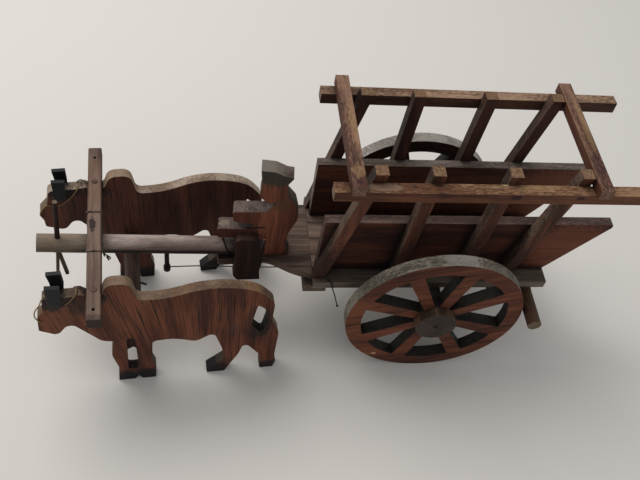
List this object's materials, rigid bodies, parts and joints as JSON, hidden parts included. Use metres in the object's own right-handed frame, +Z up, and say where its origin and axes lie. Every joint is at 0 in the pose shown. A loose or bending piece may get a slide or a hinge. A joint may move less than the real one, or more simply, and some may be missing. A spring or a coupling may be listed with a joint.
{
  "type": "toy bullock cart",
  "caption": "Handmade wooden toy bullock cart: flat cut-out bullocks under a yoke, a seated driver, a round pole and a cart with pierced wheels, board sides, slanting stakes and rails.",
  "frame": {"origin": "on the ground, under the middle of the whole toy's bounding box", "axes": "+X towards the cart's rear, +Y towards the cart's right side, +Z up"},
  "size_m": [0.4374, 0.1753, 0.2079],
  "materials": {
    "wood_stained": "satin red-brown stain",
    "wood_grey": "bare and weathered grey",
    "wood_tan": "thin orange-brown stain, worn",
    "wood_black": "black paint on wood",
    "steel": "dark dull wire"
  },
  "bodies": {
    "cart": {"axle": "wood_grey", "bearer_front": "wood_grey", "bearer_rear": "wood_grey", "bullock_left": "wood_stained", "bullock_right": "wood_stained", "crossbar_front": "wood_tan", "crossbar_rear": "wood_tan", "dowel_nail": "steel", "driver_body": "wood_stained", "driver_legs": "wood_stained", "floor_planks": "wood_stained", "hanging_peg": "wood_grey", "horn_left_inner": "wood_black", "horn_left_outer": "wood_black", "horn_right_inner": "wood_black", "horn_right_outer": "wood_black", "neck_pegs": "wood_grey", "nose_peg": "wood_stained", "panel_left": "wood_stained", "panel_right": "wood_stained", "pole": "wood_grey", "prop_sticks": "wood_stained", "rail_left": "wood_tan", "rail_right": "wood_tan", "sill_left": "wood_grey", "sill_right": "wood_grey", "stake_left_1": "wood_tan", "stake_left_2": "wood_tan", "stake_left_3": "wood_tan", "stake_left_4": "wood_tan", "stake_right_1": "wood_tan", "stake_right_2": "wood_tan", "stake_right_3": "wood_tan", "stake_right_4": "wood_tan", "tail_bar": "wood_grey", "team_dowel": "wood_grey", "tongue_board": "wood_grey", "wheel_pins": "steel", "yoke_bar": "wood_grey"},
    "wheel_left": {"wheel_left": "wood_stained", "nave_left": "wood_grey"},
    "wheel_right": {"wheel_right": "wood_stained", "nave_right": "wood_grey"}
  },
  "joints": [
    {"name": "wheel_left_spin", "type": "hinge", "parent": "cart", "child": "wheel_left", "pos_m": [0.082, -0.0515, 0.07], "axis": [0, 1, 0], "continuous": true},
    {"name": "wheel_right_spin", "type": "hinge", "parent": "cart", "child": "wheel_right", "pos_m": [0.082, 0.0735, 0.07], "axis": [0, 1, 0], "continuous": true}
  ]
}
